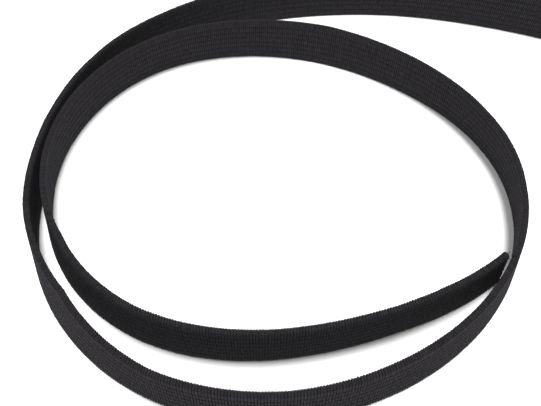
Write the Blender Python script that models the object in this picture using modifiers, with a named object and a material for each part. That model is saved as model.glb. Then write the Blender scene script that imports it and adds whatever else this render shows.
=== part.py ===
# A cut length of flat woven elastic, standing on its edge in one and a half
# loose turns, with its outer end leading away in a gentle curve.
# Metres, +Z up. The origin is the middle of the bottom of the bounding box.

import math

import bmesh
import bpy
from mathutils import Vector

MM = 0.001

# ---------------------------------------------------------------- dimensions
TAPE_WIDTH = 12.0       # mm, edge to edge, standing up
TAPE_THICKNESS = 1.45   # mm
TAPE_LENGTH = 700.0     # mm, from the first row of BENDS, along the middle
EDGE_ROUND = 0.36       # mm, rounding of the woven edges and the cut ends

SECTION = 25.0          # mm of tape between two rows of BENDS
STATION = 2.5           # mm between two cross sections of the solid
STEPS_PER_STATION = 4   # steps of the running sum between two cross sections

START_X = 45.278        # mm, the inner cut end, from the middle of the loops
START_Y = -18.091
START_HEADING = -143.715  # degrees, the way the tape leaves the inner end

# The inner end is cut a little askew: how far it reaches back past the first
# row of BENDS, in mm.
CUT_TOP = 0.2
CUT_BOTTOM = 2.1

# How the tape lies, a row for every 25 mm from the inner cut end. The turns
# run clockwise when seen from above.
#   bend: how far it turns there, in degrees to the right per section
#   lean: how far its top edge stands out past its bottom edge, in mm,
#         away from the inside of the turn
BENDS = (
    # bend,  lean
    (27.10, -0.59),     # the inner cut end, close against the outer turn
    (7.96, 0.24),
    (21.03, -0.15),
    (31.60, -0.86),     # near side of the inner turn
    (32.32, -2.31),
    (29.60, -1.72),     # left
    (28.95, -1.30),
    (35.79, -0.95),
    (23.85, -0.09),     # far side of the inner turn
    (22.15, 0.92),
    (17.08, -0.01),
    (33.64, -1.60),     # right
    (34.84, -2.22),
    (25.98, -1.73),
    (21.64, -1.25),     # near side of the outer turn
    (23.59, -0.71),
    (28.60, -1.00),
    (26.11, -2.97),
    (28.77, -1.62),     # left again, outside the inner turn
    (9.81, -0.95),
    (31.52, -1.67),
    (21.56, -0.95),     # far side, where the tail begins
    (14.79, 0.64),
    (10.55, 0.89),
    (13.20, 0.63),
    (7.63, 0.32),
    (10.10, 0.11),
    (10.15, -0.01),
    (10.15, -0.09),     # the outer cut end
)

BLACK = (0.018, 0.017, 0.019, 1.0)


# ------------------------------------------------------------------- helpers
def at_length(column, s):
    """A column of BENDS at the length s along the tape, in mm."""
    u = max(0.0, min(s / SECTION, len(BENDS) - 1.0))
    i = min(int(u), len(BENDS) - 2)
    a, b = BENDS[i][column], BENDS[i + 1][column]
    return a + (b - a) * (u - i)


def centre_line():
    """Cross sections of the tape: a list of (x, y, heading, lean) in mm and
    radians, from the running sum of the bends."""
    step = STATION / STEPS_PER_STATION
    x, y, heading = START_X, START_Y, math.radians(START_HEADING)
    stations = [(x, y, heading, at_length(1, 0.0))]
    count = round(TAPE_LENGTH / step)
    for k in range(count):
        s = k * step
        turn = math.radians((at_length(0, s) + at_length(0, s + step)) / 2.0) * step / SECTION
        middle = heading - turn / 2.0
        x += math.cos(middle) * step
        y += math.sin(middle) * step
        heading -= turn
        if (k + 1) % STEPS_PER_STATION == 0:
            stations.append((x, y, heading, at_length(1, s + step)))
    return stations


def rim(stations, side):
    """Points along one face of the tape at its bottom edge, side -1 inside
    the turn and 1 outside, and how each moves to reach the top edge."""
    points = []
    for k, (x, y, heading, lean) in enumerate(stations):
        nx, ny = -math.sin(heading), math.cos(heading)
        off = side * TAPE_THICKNESS / 2.0
        rise = math.sqrt(TAPE_WIDTH ** 2 - lean ** 2)
        ahead = Vector((math.cos(heading), math.sin(heading), 0.0))
        bottom, top = (CUT_BOTTOM, CUT_TOP) if k == 0 else (0.0, 0.0)
        foot = Vector((x + nx * off, y + ny * off, 0.0)) - ahead * bottom
        points.append((foot * MM,
                       (Vector((nx * lean, ny * lean, rise)) + ahead * (bottom - top)) * MM))
    return points


def clear_scene():
    for obj in list(bpy.data.objects):
        bpy.data.objects.remove(obj, do_unlink=True)


def collection(name):
    coll = bpy.data.collections.get(name)
    if coll is None:
        coll = bpy.data.collections.new(name)
        bpy.context.scene.collection.children.link(coll)
    return coll


def fabric_material(name, colour):
    mat = bpy.data.materials.new(name)
    mat.use_nodes = True
    bsdf = mat.node_tree.nodes["Principled BSDF"]
    bsdf.inputs["Base Color"].default_value = colour
    bsdf.inputs["Roughness"].default_value = 0.85
    bsdf.inputs["Metallic"].default_value = 0.0
    mat.diffuse_color = colour
    return mat


# ------------------------------------------------------------------ the tape
def elastic_tape(coll):
    """One solid: a flat strip along the bottom edge, drawn up to the tape's
    width with its lean, and rounded along the edges."""
    stations = centre_line()
    inner, outer = rim(stations, -1), rim(stations, 1)

    bm = bmesh.new()
    # the chain of bottom corners on the inside of the turns
    verts = [bm.verts.new(p) for p, _ in inner]
    edges = [bm.edges.new((a, b)) for a, b in zip(verts, verts[1:])]
    # drawn across the thickness: the flat bottom edge of the tape
    place = {tuple(v.co): k for k, v in enumerate(verts)}
    made = bmesh.ops.extrude_edge_only(bm, edges=edges)["geom"]
    across = {}
    for v in made:
        if isinstance(v, bmesh.types.BMVert):
            k = place[tuple(v.co)]
            v.co = outer[k][0]
            across[k] = v
    # drawn up to the top edge, each cross section with its own lean
    rise = {tuple(v.co): inner[k][1] for k, v in enumerate(verts)}
    rise.update({tuple(v.co): outer[k][1] for k, v in across.items()})
    made = bmesh.ops.extrude_face_region(bm, geom=list(bm.faces))["geom"]
    for v in made:
        if isinstance(v, bmesh.types.BMVert):
            v.co = v.co + rise[tuple(v.co)]
    bmesh.ops.recalc_face_normals(bm, faces=bm.faces)

    # the origin is the middle of the bottom of the bounding box
    xs = [v.co.x for v in bm.verts]
    ys = [v.co.y for v in bm.verts]
    shift = Vector(((min(xs) + max(xs)) / 2.0, (min(ys) + max(ys)) / 2.0, 0.0))
    bmesh.ops.translate(bm, verts=bm.verts, vec=-shift)

    mesh = bpy.data.meshes.new("elastic_tape")
    bm.to_mesh(mesh)
    bm.free()
    tape = bpy.data.objects.new("elastic_tape", mesh)
    coll.objects.link(tape)
    tape.data.materials.append(fabric_material("black_elastic", BLACK))

    bevel = tape.modifiers.new("edge_round", "BEVEL")
    bevel.width = EDGE_ROUND * MM
    bevel.segments = 2
    bevel.limit_method = "ANGLE"
    bevel.angle_limit = math.radians(45.0)
    bevel.use_clamp_overlap = True
    return tape


clear_scene()
elastic_tape(collection("elastic_tape_coil"))
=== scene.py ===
# The looks of a cut length of flat black woven elastic, standing on its edge
# in one and a half loose turns. Metres, +Z up, in the frame of the CAD model.

import math

import bpy
import numpy as np
from mathutils import Matrix, Vector


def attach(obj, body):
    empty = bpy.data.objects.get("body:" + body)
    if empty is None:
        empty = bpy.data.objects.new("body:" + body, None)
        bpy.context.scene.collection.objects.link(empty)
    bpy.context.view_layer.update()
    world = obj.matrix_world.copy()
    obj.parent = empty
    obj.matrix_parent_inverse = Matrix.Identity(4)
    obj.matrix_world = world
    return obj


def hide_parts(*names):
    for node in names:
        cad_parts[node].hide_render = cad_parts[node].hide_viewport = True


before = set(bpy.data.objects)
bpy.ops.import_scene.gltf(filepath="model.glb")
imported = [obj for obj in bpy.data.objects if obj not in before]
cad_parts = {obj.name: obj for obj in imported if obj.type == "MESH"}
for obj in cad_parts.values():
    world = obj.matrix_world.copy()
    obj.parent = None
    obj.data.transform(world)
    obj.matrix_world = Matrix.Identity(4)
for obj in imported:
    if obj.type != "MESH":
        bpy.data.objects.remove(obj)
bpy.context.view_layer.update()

MM = 0.001
rng = np.random.default_rng(1207)

# ---------------------------------------------------------------- dimensions
# the same as in the CAD model
TAPE_WIDTH = 12.0        # mm
TAPE_THICKNESS = 1.45    # mm
TAPE_LENGTH = 700.0      # mm
SECTION = 25.0           # mm of tape between two rows of BENDS
STEP = 0.625             # mm, step of the running sum
START_X, START_Y = 45.278, -18.091
START_HEADING = -143.715
CUT_TOP, CUT_BOTTOM = 0.2, 2.1   # mm, reach of the inner end, cut a little askew

# degrees turned per section, and mm that the top edge stands out
BENDS = (
    (27.10, -0.59), (7.96, 0.24), (21.03, -0.15), (31.60, -0.86), (32.32, -2.31),
    (29.60, -1.72), (28.95, -1.30), (35.79, -0.95), (23.85, -0.09), (22.15, 0.92),
    (17.08, -0.01), (33.64, -1.60), (34.84, -2.22), (25.98, -1.73), (21.64, -1.25),
    (23.59, -0.71), (28.60, -1.00), (26.11, -2.97), (28.77, -1.62), (9.81, -0.95),
    (31.52, -1.67), (21.56, -0.95), (14.79, 0.64), (10.55, 0.89), (13.20, 0.63),
    (7.63, 0.32), (10.10, 0.11), (10.15, -0.01), (10.15, -0.09),
)

# the weave
RIB_PITCH = 0.56         # mm between two crosswise yarns, along the tape
RIB_WIDTH = 0.47         # mm
RIB_HEIGHT = 0.13        # mm that a crosswise yarn stands above the web
CORDS = 7                # rubber cords that run inside the tape
GROOVE = 0.12            # mm, depth of the groove between two cords
BINDER = 0.085           # mm, radius of the lengthwise yarn in each groove
EDGE = 0.42              # mm, where the rounded woven edge begins
END_CLEAR = 0.25         # mm of bare web past the last crosswise yarn
RIM_SHADE_LEVEL = 0.46         # painted shade: the loops at the woven edges are darkened to this share of the faces' colour, so the edges lit from above come out no lighter than the faces


# ------------------------------------------------------------------ the path
def path_table():
    """The middle of the tape's bottom edge, from the running sum of the
    bends, with the origin moved to the middle of the bounding box."""
    bends = np.array(BENDS)
    knots = np.arange(len(bends)) * SECTION
    s = np.arange(0, TAPE_LENGTH + STEP / 2, STEP)
    bend = np.interp(s, knots, bends[:, 0])
    lean = np.interp(s, knots, bends[:, 1])
    turn = np.radians((bend[1:] + bend[:-1]) / 2) * STEP / SECTION
    heading = math.radians(START_HEADING) - np.concatenate([[0], np.cumsum(turn)])
    middle = (heading[1:] + heading[:-1]) / 2
    x = START_X + np.concatenate([[0], np.cumsum(np.cos(middle) * STEP)])
    y = START_Y + np.concatenate([[0], np.cumsum(np.sin(middle) * STEP)])
    nx, ny = -np.sin(heading), np.cos(heading)
    off = TAPE_THICKNESS / 2
    at = slice(None, None, 4)
    ex = np.concatenate([(x + nx * (side * off + k * lean))[at] for side in (-1, 1) for k in (0, 1)])
    ey = np.concatenate([(y + ny * (side * off + k * lean))[at] for side in (-1, 1) for k in (0, 1)])
    shift = ((ex.min() + ex.max()) / 2, (ey.min() + ey.max()) / 2)
    return s, x - shift[0], y - shift[1], heading, lean, shift


PATH = path_table()


def place(s, n, h):
    """World points, in metres, from mm along the tape, mm out from its middle
    and mm up its width. The three broadcast together."""
    ps, px, py, ph, pl, _ = PATH
    s = s - np.clip(1 - s / SECTION, 0, 1) * (CUT_BOTTOM + (CUT_TOP - CUT_BOTTOM) * h / TAPE_WIDTH)
    sc = np.clip(s, 0, TAPE_LENGTH)
    x, y = np.interp(sc, ps, px), np.interp(sc, ps, py)
    heading, lean = np.interp(sc, ps, ph), np.interp(sc, ps, pl)
    over = s - sc
    x = x + np.cos(heading) * over
    y = y + np.sin(heading) * over
    rise = np.sqrt(TAPE_WIDTH ** 2 - lean ** 2)
    out = n + lean * h / TAPE_WIDTH
    return np.stack(np.broadcast_arrays(
        x - np.sin(heading) * out, y + np.cos(heading) * out, rise * h / TAPE_WIDTH), -1) * MM


# --------------------------------------------------------------- the section
def section(inset, per_cord, round_points):
    """The closed outline of the tape's section, as (out, up) in mm, and the
    outward normals. It runs up the outer face and down the inner face."""
    half = TAPE_THICKNESS / 2
    up = []
    pitch = (TAPE_WIDTH - 2 * EDGE) / CORDS
    for k in range(CORDS * per_cord + 1):
        up.append(EDGE + pitch * k / per_cord)
    up = np.array(up)
    phase = np.cos(2 * np.pi * (up - EDGE) / pitch)          # 1 in the grooves
    out = half - GROOVE * ((1 + phase) / 2) ** 2
    out[0] = out[-1] = half - 0.03
    angle = np.linspace(0, np.pi, round_points + 2)[1:-1]
    top = np.stack([np.sign(np.cos(angle)) * np.abs(np.cos(angle)) ** 0.75 * (half - 0.03),
                    TAPE_WIDTH - EDGE + np.abs(np.sin(angle)) ** 0.75 * EDGE], -1)
    face = np.stack([out, up], -1)
    outline = np.concatenate([face, top, face[::-1] * (-1, 1), (top * (1, -1) + (0, TAPE_WIDTH))[::-1]])
    ahead, behind = np.roll(outline, -1, 0), np.roll(outline, 1, 0)
    t = ahead - behind
    normal = np.stack([t[:, 1], -t[:, 0]], -1)
    normal /= np.linalg.norm(normal, axis=1)[:, None]
    return outline - normal * inset, normal


# -------------------------------------------------------------------- meshes
def mesh_object(name, points, quads, uv, material, closed_caps=()):
    """A mesh from an array of points, an array of quads and (u, v) of each
    quad's corners, with caps over the rings of points in closed_caps."""
    me = bpy.data.meshes.new(name)
    corners = np.concatenate([quads.ravel(), *[np.asarray(c) for c in closed_caps]]).astype(np.int32)
    sizes = np.concatenate([np.full(len(quads), 4), [len(c) for c in closed_caps]]).astype(np.int32)
    starts = np.concatenate([[0], np.cumsum(sizes)[:-1]]).astype(np.int32)
    me.vertices.add(len(points))
    me.vertices.foreach_set("co", np.ascontiguousarray(points, np.float32).ravel())
    me.loops.add(len(corners))
    me.loops.foreach_set("vertex_index", corners)
    me.polygons.add(len(sizes))
    me.polygons.foreach_set("loop_start", starts)
    me.polygons.foreach_set("loop_total", sizes)
    layer = me.uv_layers.new(name="weave")
    full = np.zeros((len(corners), 2), np.float32)
    full[:len(uv)] = uv
    layer.uv.foreach_set("vector", full.ravel())
    me.update(calc_edges=True)
    me.validate()
    me.polygons.foreach_set("use_smooth", np.ones(len(me.polygons), bool))
    ob = bpy.data.objects.new(name, me)
    bpy.context.scene.collection.objects.link(ob)
    me.materials.append(material)
    return ob


def grid_quads(rows, cols, wrap):
    """Quads of a grid of points, with the columns closed into a ring or not."""
    i, j = np.meshgrid(np.arange(rows - 1), np.arange(cols if wrap else cols - 1), indexing="ij")
    k = (j + 1) % cols
    return np.stack([i * cols + j, i * cols + k, (i + 1) * cols + k, (i + 1) * cols + j], -1).reshape(-1, 4)


# ----------------------------------------------------------------- materials
def new_material(name, colour):
    mat = bpy.data.materials.new(name)
    mat.use_nodes = True
    mat.diffuse_color = (*colour, 1)
    nodes = mat.node_tree.nodes
    return mat, nodes, mat.node_tree.links, nodes["Principled BSDF"]


def yarn_material(name, dark, light, bump, sheen=0.015):
    """Black dyed yarn: fine twisted fibres, uneven dye and a soft bloom."""
    mat, nodes, links, bsdf = new_material(name, light)
    bsdf.inputs["Roughness"].default_value = 0.62
    bsdf.inputs["Specular IOR Level"].default_value = 0.006
    bsdf.inputs["Sheen Weight"].default_value = sheen
    bsdf.inputs["Sheen Roughness"].default_value = 0.6
    bsdf.inputs["Sheen Tint"].default_value = (0.78, 0.80, 1.0, 1)

    uv = nodes.new("ShaderNodeUVMap")
    uv.uv_map = "weave"
    # uneven dye, in patches a few ribs long and in single yarns
    patch = nodes.new("ShaderNodeTexNoise")
    patch.inputs["Scale"].default_value = 6.0
    patch.inputs["Detail"].default_value = 4.0
    patch.inputs["Roughness"].default_value = 0.7
    links.new(uv.outputs["UV"], patch.inputs["Vector"])
    fibre_map = nodes.new("ShaderNodeMapping")
    fibre_map.inputs["Scale"].default_value = (60.0, 22.0, 1.0)
    fibre_map.inputs["Rotation"].default_value = (0, 0, 0.6)
    links.new(uv.outputs["UV"], fibre_map.inputs["Vector"])
    fibre = nodes.new("ShaderNodeTexNoise")
    fibre.inputs["Scale"].default_value = 1.0
    fibre.inputs["Detail"].default_value = 3.0
    links.new(fibre_map.outputs["Vector"], fibre.inputs["Vector"])
    mix = nodes.new("ShaderNodeMath")
    mix.operation = "MULTIPLY_ADD"
    mix.inputs[1].default_value = 0.6
    links.new(patch.outputs["Fac"], mix.inputs[0])
    half = nodes.new("ShaderNodeMath")
    half.operation = "MULTIPLY"
    half.inputs[1].default_value = 0.4
    links.new(fibre.outputs["Fac"], half.inputs[0])
    links.new(half.outputs[0], mix.inputs[2])
    ramp = nodes.new("ShaderNodeValToRGB")
    ramp.color_ramp.elements[0].position = 0.36
    ramp.color_ramp.elements[0].color = (*dark, 1)
    ramp.color_ramp.elements[1].position = 0.64
    ramp.color_ramp.elements[1].color = (*light, 1)
    links.new(mix.outputs[0], ramp.inputs["Fac"])
    # painted shade: the loops along the woven edges are darkened, so the top edge, lit from above, comes
    # out no lighter than the faces
    rim_shade = nodes.new("ShaderNodeAttribute")
    rim_shade.attribute_name = "rim_shade"
    rim_darkening = nodes.new("ShaderNodeMath")
    rim_darkening.operation = "MULTIPLY_ADD"
    rim_darkening.inputs[1].default_value = RIM_SHADE_LEVEL - 1.0
    rim_darkening.inputs[2].default_value = 1.0
    links.new(rim_shade.outputs["Fac"], rim_darkening.inputs[0])
    tone = nodes.new("ShaderNodeVectorMath")
    tone.operation = "SCALE"
    links.new(ramp.outputs["Color"], tone.inputs[0])
    links.new(rim_darkening.outputs[0], tone.inputs["Scale"])
    links.new(tone.outputs["Vector"], bsdf.inputs["Base Color"])
    rough = nodes.new("ShaderNodeMapRange")
    rough.inputs["To Min"].default_value = 0.52
    rough.inputs["To Max"].default_value = 0.78
    links.new(fibre.outputs["Fac"], rough.inputs["Value"])
    links.new(rough.outputs["Result"], bsdf.inputs["Roughness"])

    twist = nodes.new("ShaderNodeTexWave")
    twist.wave_type = "BANDS"
    twist.bands_direction = "DIAGONAL"
    twist.inputs["Scale"].default_value = 9.0
    twist.inputs["Distortion"].default_value = 1.5
    twist.inputs["Detail"].default_value = 2.0
    links.new(uv.outputs["UV"], twist.inputs["Vector"])
    add = nodes.new("ShaderNodeMath")
    add.operation = "MULTIPLY_ADD"
    add.inputs[1].default_value = 0.5
    links.new(twist.outputs["Fac"], add.inputs[0])
    links.new(fibre.outputs["Fac"], add.inputs[2])
    b = nodes.new("ShaderNodeBump")
    b.inputs["Strength"].default_value = bump
    b.inputs["Distance"].default_value = 0.00004
    links.new(add.outputs[0], b.inputs["Height"])
    links.new(b.outputs["Normal"], bsdf.inputs["Normal"])
    return mat


# painted shade: the web, seen mostly in the narrow gaps between the crosswise yarns, is given a far darker
# colour than the yarns to stand for the shade in those gaps
SHADED_WEB = yarn_material("black_web_painted_shade", (0.0026, 0.0023, 0.0027), (0.0056, 0.0051, 0.0059), 0.4)
YARN = yarn_material("black_yarn", (0.0172, 0.0156, 0.0176), (0.0430, 0.0392, 0.0440), 0.6)
BINDING = yarn_material("black_binding", (0.0082, 0.0075, 0.0084), (0.0190, 0.0173, 0.0195), 0.5)
RUBBER, _n, _l, _b = new_material("rubber_cord", (0.02, 0.019, 0.02))
_b.inputs["Roughness"].default_value = 0.5
_noise = _n.new("ShaderNodeTexNoise")
_noise.inputs["Scale"].default_value = 4000.0
_ramp = _n.new("ShaderNodeValToRGB")
_ramp.color_ramp.elements[0].color = (0.012, 0.012, 0.013, 1)
_ramp.color_ramp.elements[1].color = (0.035, 0.033, 0.034, 1)
_coord = _n.new("ShaderNodeTexCoord")
_l.new(_coord.outputs["Object"], _noise.inputs["Vector"])
_l.new(_noise.outputs["Fac"], _ramp.inputs["Fac"])
_l.new(_ramp.outputs["Color"], _b.inputs["Base Color"])


# ------------------------------------------------------------------- the web
def wander(s, wave, size, seed):
    """A slow uneven drift along the tape, from a few sines."""
    g = np.random.default_rng(seed)
    total = np.zeros_like(s, float)
    for k in range(4):
        total += np.sin(2 * np.pi * s / (wave * g.uniform(0.6, 1.7)) + g.uniform(0, 6.28))
    return total * size / 2


def web():
    outline, _ = section(RIB_HEIGHT, 2, 3)
    s = np.linspace(0, TAPE_LENGTH, 701)[:, None]
    n = outline[None, :, 0] + wander(s, 14, 0.012, 3)
    h = outline[None, :, 1] + 0 * s
    points = place(s, n, h)
    rows, cols = n.shape
    quads = grid_quads(rows, cols, True)
    girth = np.concatenate([[0], np.cumsum(np.linalg.norm(np.diff(outline, axis=0), axis=1))])
    u = np.repeat(s / 10, cols, 1)
    v = np.repeat(girth[None] / 10, rows, 0)
    uv = np.stack([u.ravel()[quads.ravel()], v.ravel()[quads.ravel()]], -1)
    caps = [list(range(cols))[::-1], [(rows - 1) * cols + j for j in range(cols)]]
    return mesh_object("tape_web", points.reshape(-1, 3), quads, uv, SHADED_WEB, caps)


def crosswise_yarns(name, first, last):
    """Crosswise yarns number first to last: each goes round the whole tape,
    so it stands as a rib on both faces and as a small loop at both edges."""
    outline, normal = section(RIB_HEIGHT, 4, 5)
    cols = len(outline)
    count = last - first
    g = np.random.default_rng(100 + first)
    middle = (np.arange(first, last) + 0.5) * RIB_PITCH + g.normal(0, 0.018, count)
    # a half round, flattened yarn: how far along the tape and how far out
    half = RIB_WIDTH / 2
    across = np.array([(-half, -0.25), (-half * 0.55, 0.88), (half * 0.55, 0.88), (half, -0.25)])
    high = RIB_HEIGHT * g.uniform(0.80, 1.10, count)
    up = outline[:, 1]
    edge = np.clip((np.abs(up - TAPE_WIDTH / 2) - (TAPE_WIDTH / 2 - EDGE)) / EDGE, 0, 1)
    skew = wander(middle, 60, 0.10, 5)
    m = middle[:, None, None]
    loop = g.uniform(0.0, 1.1, (count, 1, 1)) ** 2
    rise = (high[:, None, None] * across[None, None, :, 1]
            * (1 + edge[None, :, None] * loop + g.normal(0, 0.06, (count, cols, 1))))
    slant = skew[:, None, None] * (up[None, :, None] / TAPE_WIDTH - 0.5)
    wob = g.normal(0, 0.012, (count, cols, 1))
    s = m + slant + wob + across[None, None, :, 0]
    n = outline[None, :, None, 0] + normal[None, :, None, 0] * rise + wander(s, 14, 0.012, 3)
    h = outline[None, :, None, 1] + normal[None, :, None, 1] * rise
    h = np.maximum(h, 0.0)
    points = place(s, n, h)
    # one yarn is a ring of cols by a strip of 4
    j, q = np.meshgrid(np.arange(cols), np.arange(3), indexing="ij")
    k = (j + 1) % cols
    one = np.stack([j * 4 + q, k * 4 + q, k * 4 + q + 1, j * 4 + q + 1], -1).reshape(-1, 4)
    quads = (one[None] + (np.arange(count) * cols * 4)[:, None, None]).reshape(-1, 4)
    girth = np.concatenate([[0], np.cumsum(np.linalg.norm(np.diff(outline, axis=0), axis=1))])
    u = s / 10
    v = np.broadcast_to(girth[None, :, None] / 10, s.shape) + g.uniform(0, 3, (count, 1, 1))
    uv = np.stack([u.ravel()[quads.ravel()], v.ravel()[quads.ravel()]], -1)
    ob = mesh_object(name, points.reshape(-1, 3), quads, uv, YARN)
    # painted shade, strongest where the loops bend over, a little less along their crest
    rim_shade_mask = np.interp(np.abs(normal[:, 1]), [0.1, 0.45, 0.8, 1.0], [0.0, 1.0, 0.95, 0.85])
    rim_shade = ob.data.attributes.new("rim_shade", "FLOAT", "POINT")
    rim_shade.data.foreach_set("value", np.broadcast_to(rim_shade_mask[None, :, None], s.shape).astype(np.float32).ravel())
    return ob


def binder_yarns(name, side):
    """The thin lengthwise yarns of one face, one in each groove between two
    cords: each runs over one crosswise yarn and under the next."""
    g = np.random.default_rng(40 + side)
    pitch = (TAPE_WIDTH - 2 * EDGE) / CORDS
    count = int(TAPE_LENGTH / RIB_PITCH)
    k = np.arange(2 * count + 1)
    s0 = np.clip(k * RIB_PITCH / 2, 0.1, TAPE_LENGTH - 0.1)
    swing = np.array([0, 1, 0, -1])
    parts, quads, uvs, at = [], [], [], 0
    for row in range(1, CORDS):
        lift = swing[(k + 2 * (row % 2)) % 4]
        n = side * (TAPE_THICKNESS / 2 - GROOVE - 0.01 + 0.045 * lift + g.normal(0, 0.006, len(k)))
        h = EDGE + pitch * row + wander(s0, 35, 0.03, 60 + row) + g.normal(0, 0.012, len(k))
        angle = np.arange(4) * np.pi / 2 + np.pi / 4
        nn = n[:, None] + BINDER * np.cos(angle)[None] + wander(s0, 14, 0.012, 3)[:, None]
        hh = h[:, None] + BINDER * np.sin(angle)[None] * 1.2
        parts.append(place(s0[:, None] + 0 * nn, nn, hh).reshape(-1, 3))
        q = grid_quads(len(k), 4, True)
        u = np.repeat(s0[:, None] / 10, 4, 1).ravel()
        v = np.tile(np.array([0, 0.02, 0.04, 0.06]), len(k)) + row
        uvs.append(np.stack([v[q.ravel()], u[q.ravel()]], -1))
        quads.append(q + at)
        at += 4 * len(k)
    return mesh_object(name, np.concatenate(parts), np.concatenate(quads), np.concatenate(uvs), BINDING)


ribs = int((TAPE_LENGTH - 2 * END_CLEAR) / RIB_PITCH)
tape = web()
yarns = [crosswise_yarns("ribs_inner_turn", 0, ribs // 3),
         crosswise_yarns("ribs_outer_turn", ribs // 3, 2 * ribs // 3),
         crosswise_yarns("ribs_tail", 2 * ribs // 3, ribs),
         binder_yarns("binders_inner_face", -1),
         binder_yarns("binders_outer_face", 1)]


# ------------------------------------------------------------------ cut ends
def stub(points, radius, sides, tip=0.6):
    """Rings of vertices along a short thread through the points, in metres."""
    p = np.array(points)
    t = np.gradient(p, axis=0)
    t /= np.linalg.norm(t, axis=1)[:, None]
    a = np.cross(t, (0.13, 0.31, 0.94))
    a /= np.linalg.norm(a, axis=1)[:, None]
    b = np.cross(t, a)
    ang = np.arange(sides) * 2 * np.pi / sides
    r = np.full(len(p), radius)
    r[-1] *= tip
    ring = (a[:, None] * np.cos(ang)[None, :, None] + b[:, None] * np.sin(ang)[None, :, None])
    return p[:, None] + ring * r[:, None, None]


def threads(name, rows, material):
    """One mesh of many stubs, each closed at its tip and its root."""
    pts, quads, caps, at = [], [], [], 0
    for ring in rows:
        m, sides, _ = ring.shape
        pts.append(ring.reshape(-1, 3))
        quads.append(grid_quads(m, sides, True) + at)
        caps.append([at + k for k in range(sides)][::-1])
        caps.append([at + (m - 1) * sides + k for k in range(sides)])
        at += m * sides
    q = np.concatenate(quads)
    uv = np.zeros((q.size, 2))
    uv[:, 0] = np.tile([0, 0, 0.05, 0.05], len(q))
    uv[:, 1] = np.tile([0, 0.03, 0.03, 0], len(q))
    ob = mesh_object(name, np.concatenate(pts), q, uv, material, caps)
    return ob


def cut_end(name, s_end, way, seed, fray, count):
    """The cut ends of the rubber cords and of the lengthwise yarns."""
    g = np.random.default_rng(seed)
    pitch = (TAPE_WIDTH - 2 * EDGE) / CORDS
    cords, tufts = [], []
    for k in range(CORDS):
        h = EDGE + (k + 0.5) * pitch
        reach = g.uniform(0.05, 0.22)
        line = [place(np.array(s_end + way * d), np.array(g.normal(0, 0.02)), np.array(h))
                for d in (-0.4, 0.0, reach)]
        cords.append(stub(line, 0.33 * MM, 10, 0.92))
        for _ in range(count):
            n0, h0 = g.uniform(-0.5, 0.5), h + g.uniform(-0.5, 0.5) * pitch
            reach = g.uniform(0.12, fray)
            sn, sh = g.normal(0, 0.22), g.normal(0, 0.25)
            line = [place(np.array(s_end + way * reach * d), np.array(n0 + sn * d * d),
                          np.array(np.clip(h0 + sh * d * d, 0.08, TAPE_WIDTH - 0.05)))
                    for d in (-0.8, 0.0, 0.35, 0.7, 1.0)]
            tufts.append(stub(line, g.uniform(0.045, 0.08) * MM, 5))
    return [threads(name + "_cords", cords, RUBBER), threads(name + "_yarns", tufts, YARN)]


ends = cut_end("inner_end", 0.0, -1, 21, 0.8, 16) + cut_end("outer_end", TAPE_LENGTH, 1, 22, 0.6, 9)

# ------------------------------------------------------------- the riding
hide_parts("elastic_tape")
for piece in [tape, *yarns, *ends]:
    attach(piece, "root")

# ------------------------------------------------------- floor, light, camera
FLOOR, _n, _l, _b = new_material("white_surface", (0.9, 0.9, 0.9))
_b.inputs["Base Color"].default_value = (0.86, 0.865, 0.86, 1)
_b.inputs["Roughness"].default_value = 0.9
_b.inputs["Specular IOR Level"].default_value = 0.1
# a lit white table, as under most photographs with a blank white ground
_b.inputs["Emission Color"].default_value = (1, 1, 1, 1)
_b.inputs["Emission Strength"].default_value = 0.04
bpy.ops.mesh.primitive_plane_add(size=6.0, location=(0, 0, -0.00002))
floor = bpy.context.object
floor.name = "surface"
floor.data.materials.append(FLOOR)

world = bpy.data.worlds.new("studio")
bpy.context.scene.world = world
world.use_nodes = True
bg = world.node_tree.nodes["Background"]
bg.inputs["Color"].default_value = (1.0, 1.0, 1.0, 1)
bg.inputs["Strength"].default_value = 0.64


def area_light(name, place_at, aim, size, power, colour=(1, 1, 1)):
    data = bpy.data.lights.new(name, "AREA")
    data.shape = "DISK"
    data.size = size
    data.energy = power
    data.color = colour
    ob = bpy.data.objects.new(name, data)
    ob.location = place_at
    ob.rotation_euler = (Vector(aim) - Vector(place_at)).to_track_quat("-Z", "Y").to_euler()
    bpy.context.scene.collection.objects.link(ob)
    return ob


area_light("overhead", (0.04, 0.14, 1.9), (0, 0, 0), 0.40, 49)

CAM_FOCAL_PX, CAM_ELEVATION, CAM_ROLL = 551.659, 52.9959, 0.3137
CAM_PLACE = (-1.52911, -75.10289, 104.27972)   # mm, in START's frame

cam_data = bpy.data.cameras.new("camera")
cam_data.sensor_fit = "HORIZONTAL"
cam_data.sensor_width = 36.0
cam_data.lens = CAM_FOCAL_PX / 541.0 * 36.0
cam_data.clip_start = 0.005
cam_data.clip_end = 20.0
cam_data.dof.use_dof = False
cam = bpy.data.objects.new("camera", cam_data)
bpy.context.scene.collection.objects.link(cam)
e, roll = math.radians(CAM_ELEVATION), math.radians(CAM_ROLL)
look = Vector((0, math.cos(e), -math.sin(e)))
right, up = Vector((1, 0, 0)), Vector((0, math.sin(e), math.cos(e)))
right, up = (right * math.cos(roll) + up * math.sin(roll), up * math.cos(roll) - right * math.sin(roll))
shift = PATH[5]
where = Vector((CAM_PLACE[0] - shift[0], CAM_PLACE[1] - shift[1], CAM_PLACE[2])) * MM
m = Matrix((right, up, -look)).transposed().to_4x4()
m.translation = where
cam.matrix_world = m
bpy.context.scene.camera = cam

scene = bpy.context.scene
scene.view_settings.view_transform = "Standard"
scene.view_settings.look = "None"
scene.view_settings.exposure = 0.0
scene.view_settings.gamma = 1.0
# the white surface all round veils the lens a little, which lifts the blacks
scene.view_settings.use_curve_mapping = True
veil = scene.view_settings.curve_mapping
veil.black_level = (-0.005, -0.005, -0.005)
veil.update()
